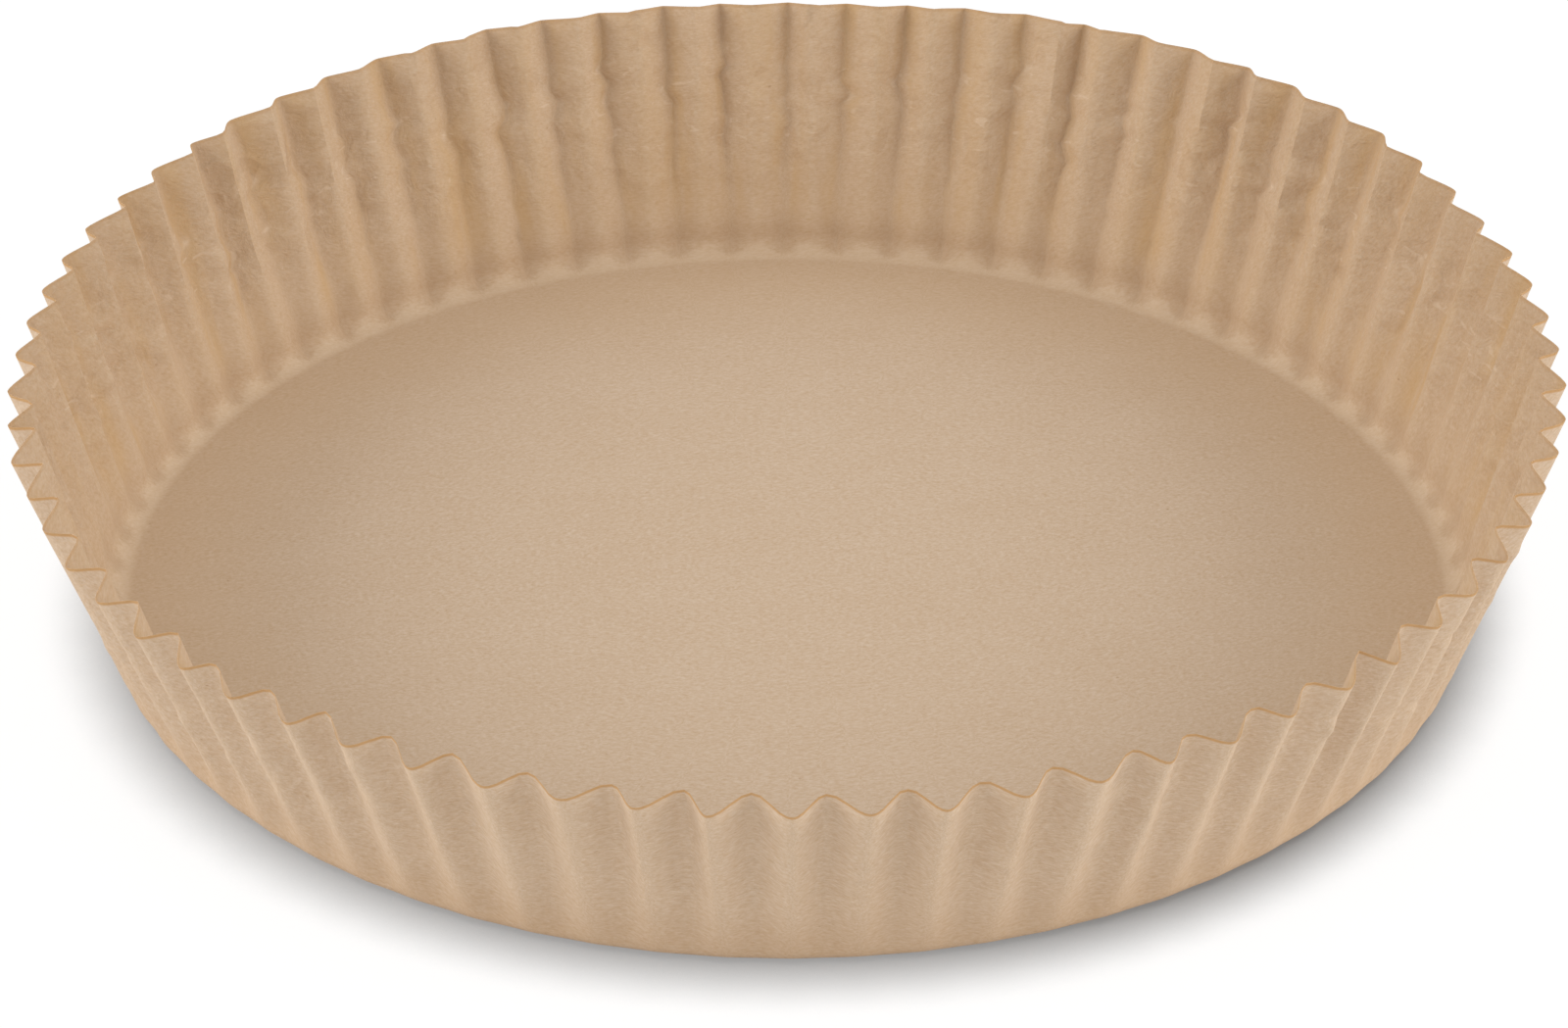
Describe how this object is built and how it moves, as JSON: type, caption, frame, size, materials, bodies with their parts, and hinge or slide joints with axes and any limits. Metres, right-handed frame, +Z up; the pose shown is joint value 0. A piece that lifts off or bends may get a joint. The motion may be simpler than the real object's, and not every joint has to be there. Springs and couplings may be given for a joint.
{
  "type": "air fryer paper liner",
  "caption": "Round air fryer liner of unbleached baking parchment: a shallow open dish with a flat floor and a slanting wall gathered into fine pleats, with a zigzag cut edge.",
  "frame": {"origin": "centre of the floor's underside, on the surface that the liner stands on", "axes": "+Z up along the axis of the round dish, out of its open side; +X to the right and +Y away from the camera in the picture's view"},
  "size_m": [0.27, 0.27, 0.045],
  "materials": {
    "parchment": "matte unbleached baking parchment with a fine mottled fibre"
  },
  "bodies": {
    "root": {"pleated_liner": "parchment"}
  },
  "joints": []
}
